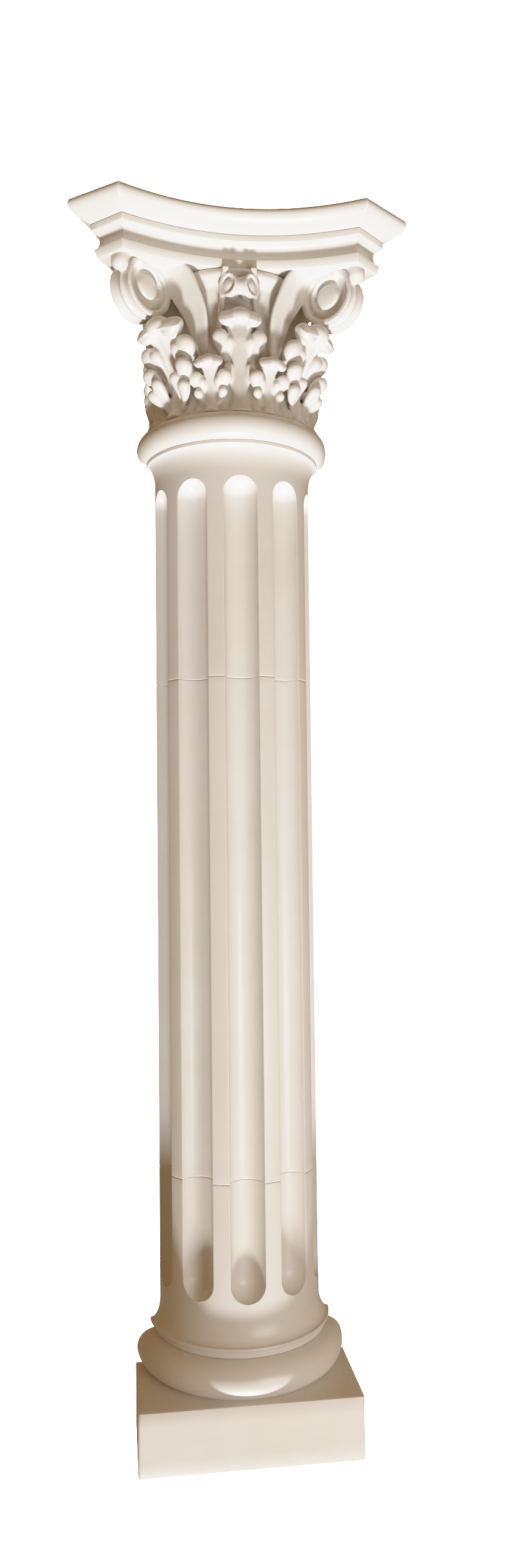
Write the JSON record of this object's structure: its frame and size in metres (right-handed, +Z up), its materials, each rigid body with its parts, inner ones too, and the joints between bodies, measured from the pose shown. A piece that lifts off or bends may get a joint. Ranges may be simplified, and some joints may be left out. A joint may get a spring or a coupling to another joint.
{
  "type": "half column",
  "caption": "Fluted plaster half column on a square plinth, with a leaf capital and a flat back that stands against a wall.",
  "frame": {"origin": "middle of the plinth's underside", "axes": "+Z up the column, +Y into the wall behind it, +X to the right of someone who faces it"},
  "size_m": [0.678, 0.2655, 2.424],
  "materials": {
    "plaster": "semi-gloss ivory paint over cast plaster"
  },
  "bodies": {
    "root": {"base": "plaster", "lower_shaft": "plaster", "middle_shaft": "plaster", "upper_shaft": "plaster", "capital": "plaster"}
  },
  "joints": []
}
